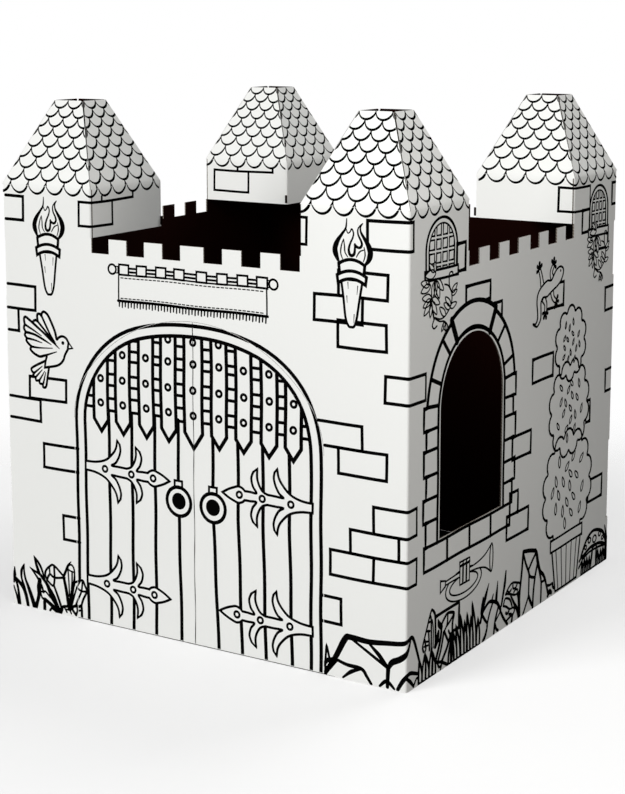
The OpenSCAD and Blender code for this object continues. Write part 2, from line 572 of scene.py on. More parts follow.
FIBRES = fibre_group()
WHITE_LINER = white_liner(FIBRES)
# The second board material is the inner liner, painted nearly black as painted shade.
BOARD_SET = [WHITE_LINER, inner_liner_painted_shade(FIBRES), cut_edge(FIBRES)]
PRINT_SET = [black_ink(FIBRES), WHITE_LINER]


# Liners of the CAD sheets: white outside, inside painted nearly black as painted shade, cut edges between

FLAP_FACE = 0.999
RIM_FACE = 0.8
LEVEL_FACE = 0.5
SIDE_FACE = 0.3
LEAF_FACE = 0.9


def board_side(centre, normal):
    """0 for the outer liner, 1 for the inner one (painted nearly black as shade) and 2 for a cut edge, at a
    point in millimetres.
    """
    if centre.z > EAVE + 0.5:
        for _, out in SIDES:
            flap = out * math.cos(ROOF_LEAN) + UP * math.sin(ROOF_LEAN)
            if abs(normal.dot(flap)) > FLAP_FACE:
                return 0 if normal.dot(flap) > 0 else 1
        # Top rims of the roof flaps take the near-black inner liner as painted shade; the other edges take
        # the cut edge.
        return 1 if normal.z > RIM_FACE else 2
    if abs(normal.z) > LEVEL_FACE:
        return 2
    spot = Vector((centre.x, centre.y, 0))
    reach = max(abs(spot.x), abs(spot.y))
    if centre.z > FACE_FOOT and reach < WALL / 2 - 2 * FOLD:
        spot -= Vector((math.copysign(TOWER_MID, spot.x), math.copysign(TOWER_MID, spot.y), 0))
        if max(abs(spot.x), abs(spot.y)) > TOWER / 2 + 0.3:
            return 1
    main = Vector((spot.x, 0, 0)) if abs(spot.x) > abs(spot.y) else Vector((0, spot.y, 0))
    lean = normal.dot(main.normalized())
    if abs(lean) < SIDE_FACE and abs(abs(spot.x) - abs(spot.y)) > 2 * FOLD:
        return 2
    return 0 if normal.dot(spot) > 0 else 1


def dress_boards():
    """Gives each face of the CAD sheets its liner."""
    for name, sheet in frame["nodes"].items():
        mesh = sheet.data
        mesh.materials.clear()
        for material in BOARD_SET:
            mesh.materials.append(material)
        sides = []
        for face in mesh.polygons:
            normal = face.normal
            if name.endswith("_door"):
                # Where the leaves meet, their edges take the near-black inner liner as painted shade in the
                # gap; other cut edges take the cut edge.
                edge = 1 if abs(face.center.x) < 2 * MM else 2
                sides.append(edge if abs(normal.y) < LEAF_FACE else (0 if normal.y < 0 else 1))
            else:
                sides.append(board_side(face.center / MM, normal))
        mesh.polygons.foreach_set("material_index", sides)


# Small drawings that are used more than once

def bow(half, low, rise):
    """Shallow arch between two ends."""
    return [(half * (k / 5 - 1), low + rise * (1 - (k / 5 - 1) ** 2)) for k in range(11)]


def torch(p, u, foot):
    """Burning torch with two rings and a tapered handle."""
    def at(points):
        return moved(points, u, foot)

    left = smooth([(-29, 128), (-38, 152), (-33, 170), (-22, 186), (-13, 199), (-11, 218)])
    middle = smooth([(-12, 197), (-8, 189), (-3, 192), (1, 198), (5, 190), (3, 180), (-2, 170), (-6, 158),
                     (-5, 148), (0, 144), (6, 148), (8, 160), (8, 168)])
    tongue = smooth([(8, 166), (14, 162), (20, 162), (24, 168), (22, 176), (16, 187), (15, 198),
                     (20, 206), (26, 211)])
    right = smooth([(26, 211), (21, 203), (22, 193), (29, 182), (38, 169), (43, 153), (39, 138), (31, 128)])
    p.area(at(left + right), PAPER, 2)
    p.line(at(left), (4, 11, 10, 6, 4, 2), 2)
    p.line(at(middle), (2, 3, 4, 6, 4), 2)
    p.line(at(tongue), (5, 5, 4, 3, 2), 2)
    p.line(at(right), (2, 4, 7, 11, 11, 5), 2)
    for path in ([(-21, 136), (-25, 148), (-23, 163), (-18, 176)],
                 [(-18, 176), (-16, 163), (-15, 150), (-9, 141)],
                 [(11, 142), (16, 150), (21, 155), (29, 158)], [(29, 163), (31, 148), (27, 134)]):
        p.line(at(smooth(path)), (HAIR, FINE, HAIR), 2)
    handle = smooth([(-25, 95), (-19, 58), (-13, 18), (-6, 2), (0, 0), (7, 2), (13, 18), (19, 58),
                     (25, 95)])
    p.shape(at(handle), PEN, 2)
    for du, low, high in ((-9, 76, 90), (14, 66, 84), (-11, 48, 62), (7, 8, 26)):
        p.line(at([(du, high), (du * 0.9, low)]), (HAIR, 1), 2)
    for half, top, foot_half, low, layer in ((30, 126, 27, 98, 3), (34, 103, 32, 87, 4)):
        p.shape(at(bow(half, top, 10) + bow(foot_half, low, 10)[::-1]), BOLD, layer)


def leaf(p, u, v, length, turn, layer, pen=FINE):
    """Pointed leaf."""
    outline = smooth([(0, 0), (0.3, 0.2), (0.7, 0.16), (1, 0), (0.7, -0.16), (0.3, -0.2)], True, 3)
    p.shape(moved(outline, u, v, turn, length, length), pen, layer)


def vine(p, u, v, wide):
    """Leafy stem that hangs from a sill, with a thin tendril beside it."""
    def at(points):
        return moved(points, u, v, 0, wide, 1)

    stems = [
        ([(0, 0), (-12, -20), (-17, -46), (-9, -66), (-3, -81)], FINE + 1),
        ([(61, 0), (62, -20), (72, -36), (73, -52), (65, -66), (45, -80), (24, -84), (0, -78)], FINE),
        ([(41, -15), (58, -20), (71, -34)], FINE),
        ([(60, 1), (66, 7), (76, 6), (78, -2)], FINE),
        ([(-3, -81), (-10, -93), (-2, -100), (10, -96)], FINE),
        ([(2, -80), (20, -88), (40, -91), (54, -100), (57, -108)], FINE),
    ]
    for path, pen in stems:
        p.line(at(smooth(path)), pen, 2)
    leaves = [((0, 14), (-2, 37)), ((-4, 15), (-26, 34)), ((2, 12), (-42, 10)), ((-24, -9), (-60, -1)),
              ((-20, -11), (-60, -20)), ((-28, -8), (-42, 8)), ((2, -2), (0, -36)), ((4, -3), (18, -41)),
              ((6, -2), (36, -26)), ((-5, -6), (-13, -38)), ((-16, -36), (-54, -33)),
              ((-17, -40), (-50, -51)), ((-17, -44), (-46, -68)), ((-16, -46), (-20, -75)),
              ((-14, -44), (8, -72)), ((-12, -38), (20, -52)), ((73, -36), (97, -20)),
              ((72, -40), (96, -34)), ((68, -62), (44, -42)), ((64, -68), (38, -54)),
              ((46, -80), (20, -60)), ((66, -66), (94, -60)), ((38, -92), (48, -112)),
              ((44, -93), (30, -110))]
    for k, (root, tip) in enumerate(leaves):
        (a, b), (c, d) = at([root, tip])
        turn = math.degrees(math.atan2(d - b, c - a))
        leaf(p, a, b, math.dist((a, b), (c, d)), turn, 2.6 + 0.1 * k, HAIR + 0.6)


def lattice_window(p, u0, u1, v0, v1):
    """Small window with an arched head, panes between broad bars, and a sill."""
    half = (u1 - u0) / 2
    mid = (u0 + u1) / 2

    def frame_line(inset):
        head = arc(mid, v1 - half, half - inset, half - inset, 180, 0, 24)
        return [(u0 + inset, v0)] + head + [(u1 - inset, v0)]

    p.line(frame_line(0), PEN)
    inner = frame_line(12)
    p.line(inner, FINE)
    pane = inner[::-1]
    pitch = (2 * half - 26) / 4
    for k in range(4):
        left = u0 + 13 + pitch * k + (4.2 if k else 2.0)
        right = u0 + 13 + pitch * (k + 1) - (4.2 if k < 3 else 2.0)
        for low, high in ((-20, 8), (16, 36), (44, 64), (72, 130)):
            p.line(box(left, v0 + low, right, v0 + high), FINE, 0, [pane], True)
    p.shape(box(u0 - 5, v0 - 17, u1 + 5, v0 + 2), PEN, 1)


def blade(p, u, height, lean, wide, layer):
    """One blade of grass that stands on the foot of the wall."""
    tip = (u + lean, height)
    left = smooth([(u - wide / 2, 1), (u - wide * 0.42 + lean * 0.25, height * 0.5), tip], False, 5)
    right = smooth([tip, (u + wide * 0.5 + lean * 0.3, height * 0.5), (u + wide / 2, 1)], False, 5)
    p.shape(left + right[1:], PEN, layer)


def grass(p, u0, u1, seed):
    """Row of grass along the foot of a wall."""
    draw = random.Random(seed)
    u = u0
    layer = 3.0
    while u < u1:
        height, lean = draw.uniform(50, 110), draw.uniform(-26, 26)
        blade(p, u, height, lean, 11 * draw.uniform(0.8, 1.2), layer)
        u += 13 * draw.uniform(0.7, 1.3)
        layer += 0.25 if layer < 8 else -4.0


# Front wall

def banner(p):
    """Short cloth with a fringe, hung by loops from a rod with knobs."""
    p.line(box(329, 745, 714, 803), FINE + 0.8, closed=True)
    for v in (810, 818):
        p.line([(318, v), (724, v)], PEN)
    for u in (311, 731):
        p.circle(u, 813, 10.5, PEN, 1)
    for u in (324, 718):
        p.shape(box(u - 3, 806, u + 3, 820), FINE, 1)
    for u in (343, 391, 443, 491, 549, 602, 654, 703):
        p.shape(box(u - 13, 803, u + 13, 825), PEN, 1)
    for v in (796, 751):
        u = 335
        while u < 708:
            p.line([(u, v), (u + 6.5, v)], FINE - 0.4)
            u += 11
    for k in range(48):
        u = 331 + k * 8.1
        p.line([(u, 743), (u - 0.5, 733 - 2 * (k % 2))], (4.2, 3.6))
    p.line([(327, 745), (716, 745)], BOLD)


def dove(p):
    """Flying bird with a raised wing. Each feather ends in a round tip."""
    def tips(rows):
        return [spot for row in rows for spot in smooth(row, False, 4)]

    tail = tips([[(118, 589), (97, 580), (79, 571), (74, 566), (77, 560), (83, 558)],
                 [(83, 558), (79, 552), (86, 548)], [(86, 548), (88, 541), (97, 542)],
                 [(97, 542), (99, 535), (108, 535)],
                 [(108, 535), (108, 528), (114, 527), (118, 533), (121, 550), (126, 574)]])
    wing = tips([[(151, 641), (146, 660), (130, 690), (121, 699), (114, 701), (109, 696), (109, 690)],
                 [(109, 690), (104, 695), (97, 694), (96, 686), (98, 677)],
                 [(98, 677), (92, 680), (86, 678), (83, 673)],
                 [(83, 673), (73, 679), (62, 685), (57, 680), (59, 667)],
                 [(59, 667), (56, 659), (61, 650)], [(61, 650), (58, 643), (64, 636)],
                 [(64, 636), (62, 631), (68, 624), (77, 618)],
                 [(77, 618), (73, 612), (80, 605), (90, 600), (101, 597), (113, 600), (126, 604),
                  (150, 612)]])
    body = smooth([(152, 640), (159, 646), (169, 649), (179, 645), (185, 636)])
    body += smooth([(182, 620), (174, 608), (169, 596), (160, 586), (148, 580), (130, 576), (114, 573)])
    body += smooth([(116, 586), (121, 600)])
    p.shape(tail, PEN + 0.4, 2)
    for root, end in (((106, 575), (84, 559)), ((106, 567), (87, 549)),
                      ((113, 564), (98, 543)), ((116, 562), (109, 536))):
        p.line([root, end], (HAIR, PEN), 2)
    p.area(body + [(150, 612)], PAPER, 3)
    p.line(body, PEN + 0.4, 3)
    p.shape([(186, 636), (196, 625), (183, 622)], FINE + 0.8, 3.5)
    p.disc(169, 634, 4.4, 3.5)
    p.area(wing, PAPER, 4)
    p.line(wing, [PEN + 0.8] * 8 + [HAIR], 4)
    feathers = [
        ([(109, 691), (118, 675), (133, 650), (146, 634)], (5, 5, 3)),
        ([(98, 677), (118, 658), (148, 630)], (5, 5, 3)),
        ([(83, 673), (110, 655), (130, 641), (158, 620)], (6, 5, 6, 2)),
        ([(60, 667), (85, 656), (107, 645)], (5, 4, 2)),
        ([(62, 650), (85, 647), (105, 640), (135, 627)], (6, 5, 5, 2)),
        ([(65, 636), (85, 634), (108, 629)], (5, 4, 2)),
        ([(77, 618), (100, 617), (138, 619)], (5, 3, 2)),
    ]
    for path, pen in feathers:
        p.line(smooth(path), pen, 4)


def front_wall():
    """Stones, torches, banner, bird, crystals and rocks of the front wall."""
    p = Print(around(0, 0, WALL), WALL, [WALL_AREA], FRONT_BOLD)
    for u1, v0, v1 in ((61, 904, 958), (91, 702, 756), (100, 447, 497)):
        p.block(10, v0, u1, v1, "brt")
    p.block(10, 651, 41, 702, "br")
    for stone in ((69, 499, 175, 549), (954, 903, 1064, 960), (886, 803, 1000, 854), (829, 749, 943, 803),
                  (886, 699, 998, 753), (996, 595, 1119, 649), (887, 436, 1000, 490), (971, 322, 1087, 378),
                  (916, 272, 1029, 322), (868, 219, 971, 272), (971, 219, 1087, 272)):
        p.block(*stone)
    p.line([(839, 541), (943, 541), (943, 490), (855, 490)], BOLD)
    p.line([(1029, 272), (1050, 272)], BOLD)
    arch_line(p, True)
    torch(p, 132, 742)
    torch(p, 917, 742)
    dove(p)
    p.clip.append(LEFT_OF_DOOR)
    for u0, v0, v1 in ((106, 342, 397), (159, 179, 235)):
        p.block(u0, v0, 199, v1, "tlb")
    front_left_foot(p)
    p.clip[-1] = RIGHT_OF_DOOR
    p.block(851, 116, 895, 171, "brt")
    front_rocks(p)
    p.clip.pop()
    p.bold = EVEN
    banner(p)
    p.piece("front_wall_print", "castle")


def strokes(p, start, paths, layer):
    """Draws a set of curved pen strokes, each with its own width."""
    for path, pen in paths:
        p.line(moved(smooth(path, False, 5), start), pen, layer)


def front_left_foot(p):
    """Broad grass and a cluster of crystals beside the door, some of it on the left leaf."""
    p.area([(188, 78), (201, 88), (212, 91), (223, 67), (206, 27), (207, 2), (170, 2)], PAPER, 5)
    strokes(p, 0, [
        ([(5, 53), (8, 71), (9, 89)], (6, 9, 3)),
        ([(8, 67), (17, 41), (22, 3)], (6, 6, 8)),
        ([(10, 64), (30, 48), (40, 31), (47, 3)], (6, 9, 9, 8)),
        ([(4, 43), (13, 21), (19, 3)], (4, 5, 7)),
        ([(39, 101), (31, 87), (29, 69), (35, 49), (42, 29)], (3, 7, 5, 7, 6)),
        ([(39, 101), (38, 85), (41, 67), (50, 46), (59, 24), (67, 3)], (3, 5, 6, 9, 10, 11)),
        ([(70, 3), (76, 19), (81, 36), (82, 53), (85, 71)], (10, 8, 9, 12, 10)),
        ([(69, 126), (76, 106), (83, 89)], (2, 7, 8)),
        ([(69, 126), (83, 111), (91, 99), (97, 83), (100, 73)], (2, 6, 6, 5, 4)),
        ([(56, 97), (70, 90), (85, 85), (96, 75), (111, 59)], (2, 5, 7, 7, 8)),
        ([(56, 97), (68, 86), (81, 72), (90, 57), (95, 43)], (2, 4, 6, 6, 5)),
        ([(106, 63), (115, 49), (121, 39), (132, 21), (144, 4)], (6, 12, 14, 10, 6)),
        ([(85, 44), (95, 44), (101, 46), (113, 36), (128, 24), (144, 5)], (4, 4, 4, 5, 8, 7)),
        ([(86, 43), (90, 30), (99, 29)], 4),
        ([(90, 29), (109, 19), (136, 3)], (4, 5, 6)),
        ([(99, 29), (120, 18), (142, 6)], 5),
        ([(97, 3), (97, 21)], 8),
        ([(113, 3), (119, 9), (131, 3)], 5),
        ([(107, 74), (102, 86), (105, 97), (115, 107), (128, 112), (155, 92)], 5),
        ([(115, 105), (116, 89)], 4),
        ([(129, 110), (130, 84)], 5),
        ([(107, 75), (116, 89), (130, 83), (160, 88)], 5),
        ([(107, 74), (125, 63), (130, 83)], 5),
        ([(127, 64), (138, 39), (148, 13)], (5, 6, 6)),
        ([(157, 91), (163, 103), (170, 118), (179, 129)], (6, 6, 6, 2)),
        ([(170, 118), (180, 122), (187, 115), (189, 101), (185, 71), (176, 41), (170, 16)],
         (4, 4, 4, 5, 8, 9, 8)),
        ([(157, 89), (164, 56), (169, 19)], (7, 8, 8)),
        ([(170, 119), (170, 111), (177, 107), (186, 106)], 3.5),
        ([(170, 111), (172, 76), (172, 46)], 3.5),
        ([(182, 106), (181, 81), (177, 51)], 4),
        ([(190, 97), (186, 75)], (3, 8)),
        ([(187, 81), (200, 87), (212, 91), (218, 81), (223, 67), (212, 46), (205, 27)], 5),
        ([(194, 71), (208, 65), (223, 67)], 4.5),
        ([(212, 91), (208, 65), (197, 43), (188, 24)], 4.5),
        ([(205, 87), (195, 71), (183, 41), (174, 15)], (3.5, 4, 5, 6)),
        ([(147, 15), (154, 19), (167, 21), (178, 19), (182, 23), (193, 28), (199, 26), (206, 28),
          (207, 3)], 6),
        ([(163, 7), (159, 13), (154, 19)], 4),
        ([(159, 13), (171, 13), (176, 6)], 4),
        ([(178, 19), (183, 12), (190, 5)], 6),
        ([(193, 26), (195, 17), (206, 19)], 4.5),
        ([(195, 17), (190, 5)], 5),
        ([(148, 13), (144, 3)], 9),
    ], 6)


def front_rocks(p):
    """Boulders at the near corner, carried round the fold, in front of two blades of grass."""
    p.area([(855, 0.4), (881, 42), (905, 88), (918, 92), (1006, 92), (1006, 0.4)], PAPER, -0.4)
    p.line(smooth([(853, 20), (861, 32), (874, 37)]), (6, 9, 8))
    boulder = smooth([(856, 3), (880, 42), (904, 88), (918, 94), (960, 92), (1000, 96), (1036, 101),
                      (1054, 108), (1068, 112), (1079, 102), (1096, 66), (1106, 42)])
    p.line(boulder, (9, 12, 10, 8, 7))
    p.line([(921, 90), (1007, 44)], (5, 7))
    p.line([(957, 92), (985, 68), (1007, 44)], (4, 9, 7))
    p.line(smooth([(1064, 106), (1052, 84), (1034, 68), (1016, 58), (1007, 44)]), (6, 9, 11, 12, 8))
    p.line([(1007, 44), (1006, 4)], (9, 7))
    p.line(smooth([(880, 40), (908, 33), (944, 31), (958, 16), (968, 3)]), (6, 8, 6))
    p.line(smooth([(884, 36), (868, 20), (858, 3)]), (5, 10, 6))
    p.line(smooth([(944, 31), (920, 20), (900, 3)]), (5, 8, 4))
    p.line(smooth([(988, 3), (1004, 16), (1022, 3)]), (5, 8, 5))
    strokes(p, WALL, [
        ([(-20, 3), (-6, 26), (12, 37), (48, 26), (76, 21), (104, 24)], (7, 9, 7, 6, 5)),
        ([(2, 28), (16, 18), (30, 4)], (7, 8, 6)),
        ([(30, 5), (44, 18), (56, 3)], (6, 5, 7)),
        ([(66, 20), (74, 3), (92, 16)], (5, 8, 5)),
    ], 0)
    for u, height, lean in ((862, 66, -3), (872, 40, 6)):
        blade(p, u, height, lean, 11, -1)


# Doors

def three_centred(half, spring, top, haunch):
    """Arch of three arcs over straight sides, from its left foot to its right one."""
    rise = top - spring
    crown = (half ** 2 + rise ** 2 - 2 * half * haunch) / (2 * (rise - haunch))
    aside = half - haunch
    low = top - crown
    meet = math.degrees(math.atan2(spring - low, aside))
    points = [(DOOR_MID - half, LEAF_FOOT)]
    points += arc(DOOR_MID - aside, spring, haunch, haunch, 180, 180 - meet, 14)
    points += arc(DOOR_MID, low, crown, crown, 180 - meet, meet, 36)[1:]
    points += arc(DOOR_MID + aside, spring, haunch, haunch, meet, 0, 14)[1:]
    points.append((DOOR_MID + half, LEAF_FOOT))
    return points


def door_arch(inset):
    """Cut outline of the doorway, moved in by inset."""
    top = DOOR_SPRING + DOOR_RISE - inset
    return three_centred(DOOR_HALF - inset, DOOR_SPRING, top, DOOR_HAUNCH - inset)


def print_arch(inset):
    """Printed outline of the doorway, moved in by inset. It is a little fuller than the cut one."""
    return three_centred(PRINT_HALF - inset, PRINT_SPRING, PRINT_TOP - inset, PRINT_HAUNCH - inset)


def reach(points, turn):
    """Distance from a point low in the doorway to a line of points round it, at an angle in degrees."""
    way = compass(turn)
    spots = [(u - DOOR_MID, v - ARCH_FOOT) for u, v in points]
    for a, b in zip(spots, spots[1:]):
        side_a = way[0] * a[1] - way[1] * a[0]
        side_b = way[0] * b[1] - way[1] * b[0]
        if side_a <= 0 < side_b or side_b <= 0 < side_a:
            t = side_a / (side_a - side_b)
            far = sum(w * (x + (y - x) * t) for w, x, y in zip(way, a, b))
            if far > 0:
                return far
    return PRINT_HALF


def round_door(far, turn):
    """Point at a distance and an angle in degrees from the same point low in the doorway."""
    c, s = compass(turn)
    return DOOR_MID + far * c, ARCH_FOOT + far * s


def arch_line(p, on_wall):
    """Outer line of the printed arch. Where it meets the cut, wall and leaf each carry their share."""
    printed, cut = print_arch(0), door_arch(0)
    half = ARCH_PEN * p.bold[0] / 2
    rows = []
    for k in range(1, int(180 / ARCH_STEP)):
        turn = ARCH_STEP * k
        low, high = reach(printed, turn) - half, reach(printed, turn) + half
        if on_wall:
            low = max(low, reach(cut, turn) + ARCH_WALL_BARE)
        else:
            high = min(high, reach(cut, turn) - ARCH_LEAF_BARE)
        rows.append((turn, low, max(low, high)))
    for (a, low_a, high_a), (b, low_b, high_b) in zip(rows, rows[1:]):
        if high_a > low_a and high_b > low_b:
            corners = ((low_a, a), (high_a, a), (high_b, b), (low_b, b))
            p.area([round_door(far, turn) for far, turn in corners], INK, 3)


def leaf_shape(side):
    """Printed area of one leaf, anticlockwise. side is -1 for the left leaf and 1 for the right one."""
    middle = DOOR_MID + side * LEAF_MIDDLE
    kept = [spot for spot in door_arch(LEAF_BARE) if (spot[0] - middle) * side > 0]
    top = (middle, DOOR_SPRING + DOOR_RISE - LEAF_TOP_BARE)
    foot = (middle, LEAF_FOOT)
    if side < 0:
        return (kept + [top, foot])[::-1]
    return ([foot, top] + kept)[::-1]


def strap_hinge(p, root, mid, way, drop):
    """Forged strap with two pairs of barbs and a pointed end. way is 1 to the right and -1 to the left."""
    def at(points):
        return moved(points, root, mid, 0, way, 1)

    upper = smooth([(-3, 10), (26, 12), (54, 21), (74, 39), (83, 54), (86, 71)])
    upper += smooth([(93, 62), (95, 49), (91, 34), (82, 19), (71, 11), (92, 11), (110, 11)])
    upper += smooth([(112, 11), (124, 16), (133, 28), (138, 44), (137, 63)])
    upper += smooth([(148, 54), (153, 40), (149, 23), (140, 10), (156, 10), (168, 10)])
    upper += smooth([(170, 10), (176, 15), (186, 18), (197, 15), (212, 9), (228, 0)])
    outline = upper + [(u, -v) for u, v in upper[::-1][1:]]
    p.shape(at([(u, v + drop * u) for u, v in outline]), PEN + 0.2, 4)
    for u in (52, 125, 184):
        p.circle(root + way * u, mid + drop * u, 6.6, PEN, 5)


def portcullis(p, opening):
    """Pointed bars with rivets, and the level ones between them."""
    bars = (274, 335, 399, 459, 525, 592, 655, 719, 779)
    for k, (u, rivets) in enumerate(zip(bars, (2, 3, 3, 4, 4, 4, 3, 3, 2))):
        half = 23.5 if k == 4 else 19.5
        point = 440 if k == 4 else 447
        bar = [(u - half, 700), (u - half, 474), (u, point), (u + half, 474), (u + half, 700)]
        p.area(bar, PAPER, 1, [opening])
        p.line(bar, THICK - 0.4, 1, [opening])
        for v in (512, 567, 624, 672)[:rivets]:
            p.shape(oval(u, v, 6.6, 6.6), PEN + 0.6, 2, [opening])
    for k, (left, right) in enumerate(zip((bars[0] - 60,) + bars, bars + (bars[-1] + 60,))):
        for v in (498, 525, 554, 579, 611, 632, 660):
            lift = 2 * math.sin(k * 2.3 + v)
            p.line([(left, v + lift), (right, v + lift)], BOLD, 0, [opening])


def door_print(side):
    """Everything printed on one leaf, with a thin ink line of painted shade along the gap where it meets
    the other.
    """
    p = Print(around(0, 0, WALL), 0.0, [leaf_shape(side)], FRONT_BOLD)
    for v in (342, 397, 179, 235):
        p.line([(197, v), (206, v)], BOLD)
    for v in (116, 171):
        p.line([(846, v), (858, v)], BOLD)
    arch_line(p, False)
    for u in (DOOR_MID - PRINT_HALF, DOOR_MID + PRINT_HALF):
        p.line([(u, 3), (u, ARCH_FOOT + 12)], ARCH_PEN, 3)
    opening = print_arch(PRINT_BAND)
    p.line(opening, ARCH_PEN, 3)
    planks = ((295, 293), (358, 357), (421, 420), (484, 489),
              (575, 587), (640, 648), (703, 709), (769, 775))
    for u, low in planks:
        p.line([(u, 498), (u, 300), (low, 3)], THICK - 0.6)
    portcullis(p, opening[::-1])
    for strap in ((230, 362, 1.01, -0.02), (230, 98, 1, -0.027),
                  (823, 353, -0.98, 0.01), (823, 87, -1.02, 0.013)):
        strap_hinge(p, *strap)
    if side < 0:
        front_left_foot(p)
    for u in (484, 575):
        p.shape(box(u - 10, 346, u + 10, 362), PEN, 2)
        p.circle(u, 316, 32, BOLD + 1, 2)
        p.disc(u, 317, 18.5, 2.5)
    # Thin ink line beside the meeting edge: painted shade of the gap between the leaves.
    edge = DOOR_MID + side * 0.75
    p.line([(edge, 4), (edge, DOOR_SPRING + DOOR_RISE - 3)], 0.6, 4)
    name = "left" if side < 0 else "right"
    p.piece(name + "_door_print", name + "_leaf")


# Right wall

def window_stones(p, start):
    """Stones round the window, with a wide keystone and a sill."""
    mid = start + WINDOW_MID
    inner, outer = WINDOW_HALF + 9, 205.0

    def head(radius, low, high, steps):
        return arc(mid, WINDOW_SPRING, radius, radius, low, high, steps)

    turns = (6, 18, 42, 60, 119, 133, 158, 174)
    for low, high in zip(turns, turns[1:]):
        far = outer + 6 if low == 60 else outer
        top = head(far, low, high, 10)
        p.area(top + head(inner, high, low, 10), PAPER, 1)
        p.line(top, THICK if far > outer else THICK - 1, 1)
    p.line(head(inner, 6, 174, 40), BOLD, 1)
    p.line(head(inner, 50, 130, 24), (6, THICK + 1, 6), 1)
    for turn in turns:
        c, s = compass(turn)
        key = turn in (60, 119)
        far = outer + 6 if key else outer
        p.line([(mid + inner * c, WINDOW_SPRING + inner * s), (mid + far * c, WINDOW_SPRING + far * s)],
               THICK + 3 if key else THICK - 1.4, 1)
    for u in (mid - inner, mid + inner):
        p.line([(u, WINDOW_SILL - 4), (u, WINDOW_SPRING + 20)], BOLD, 1)
    marks = (577, 529, 486, 433, 384, 336, 284)
    for k, (top, low) in enumerate(zip(marks, marks[1:])):
        left, right = (64, 493) if k % 2 == 0 else (75, 480)
        p.line([(mid - inner, top), (start + left, top), (start + left, low), (mid - inner, low)], BOLD)
        p.line([(mid + inner, top), (start + right, top), (start + right, low), (mid + inner, low)], BOLD)
    p.block(start + 68, 234, start + 471, 284)
    for u in (171, 274, 375):
        p.line([(start + u, 234), (start + u, 284)], BOLD)


def trumpet(p, u, v):
    """Trumpet with an oval coil, three valves and a flared bell."""
    for wide, high in ((84, 33), (66, 20)):
        p.line(oval(u + 112, v + 33, wide, high, 40), FINE, closed=True)
    p.shape([(u + 4, v + 42), (u + 26, v + 50), (u + 26, v + 62), (u + 4, v + 68)], FINE, 2)
    tube = smooth([(26, 60), (90, 62), (160, 62), (210, 70), (242, 86)])
    low = smooth([(242, 24), (210, 42), (160, 51), (90, 52), (26, 52)])
    p.shape(moved(tube + low, u, v), FINE, 2)
    p.shape(oval(u + 244, v + 55, 8, 32), FINE, 3)
    for k in range(3):
        x = u + 92 + 16 * k
        p.shape(box(x, v + 34, x + 13, v + 74), FINE, 3)
        p.shape(box(x - 1, v + 76, x + 14, v + 84), FINE, 3)


def lizard(p, u):
    """Small lizard on the wall."""
    legs = [((624, 752), (616, 776), (606, 794)), ((678, 760), (670, 778), (682, 794)),
            ((630, 724), (644, 708), (642, 690)), ((676, 736), (684, 718), (700, 708))]
    for path in legs:
        p.tube(moved(smooth(path), u), (17, 12, 10), FINE, 2)
        end = path[-1]
        way = math.degrees(math.atan2(end[1] - path[1][1], end[0] - path[1][0]))
        for turn in (-80, -27, 27, 80):
            p.line(moved([(2, 0), (14, 0)], u + end[0], end[1], way + turn), (4, 6.5), 2.5)
    body = smooth([(576, 673), (590, 671), (600, 682), (599, 700), (596, 718), (599, 735), (612, 748),
                   (635, 758), (652, 762), (672, 760), (688, 773), (702, 782), (720, 786), (736, 780),
                   (737, 768), (724, 752), (704, 742), (690, 738), (668, 731), (650, 725), (630, 726),
                   (618, 717), (618, 695), (616, 677), (600, 664), (586, 667)], True, 4)
    p.shape(moved(body, u), FINE + 0.8, 3)
    p.disc(u + 722, 776, 3.4, 4)


def clipped_tree(p, u):
    """Tall tree in a tub, clipped to three leafy balls."""
    p.tube([(u, 120), (u, 620)], (18, 14), FINE, 2)
    p.shape([(u - 62, 6), (u + 62, 6), (u + 84, 112), (u - 84, 112)], PEN, 5)
    p.shape(box(u - 92, 108, u + 92, 136), PEN, 6)
    for k in range(-2, 3):
        p.line([(u + 30 * k, 106), (u + 23 * k, 8)], FINE, 5)
    draw = random.Random(5)
    for mid, radius, lobes in ((246, 116, 14), (440, 92, 12), (596, 68, 10)):
        cloud = []
        for k in range(lobes):
            a = 360 * (k + 0.5) / lobes
            c, s = compass(a)
            size = radius * math.sin(math.pi / lobes) * 1.1
            cloud += arc(u + radius * c, mid + radius * s, size, size, a - 72, a + 72, 6)
        p.shape(cloud, PEN, 3 + mid * 0.002)
        for k in range(lobes + 5):
            a, r = 137.5 * k, radius * 0.84 * math.sqrt((k + 0.5) / (lobes + 5))
            c, s = compass(a)
            turn = draw.uniform(40, 140)
            leaf(p, u + r * c, mid + r * s - radius * 0.1, radius * 0.24, turn, 4 + mid * 0.002)


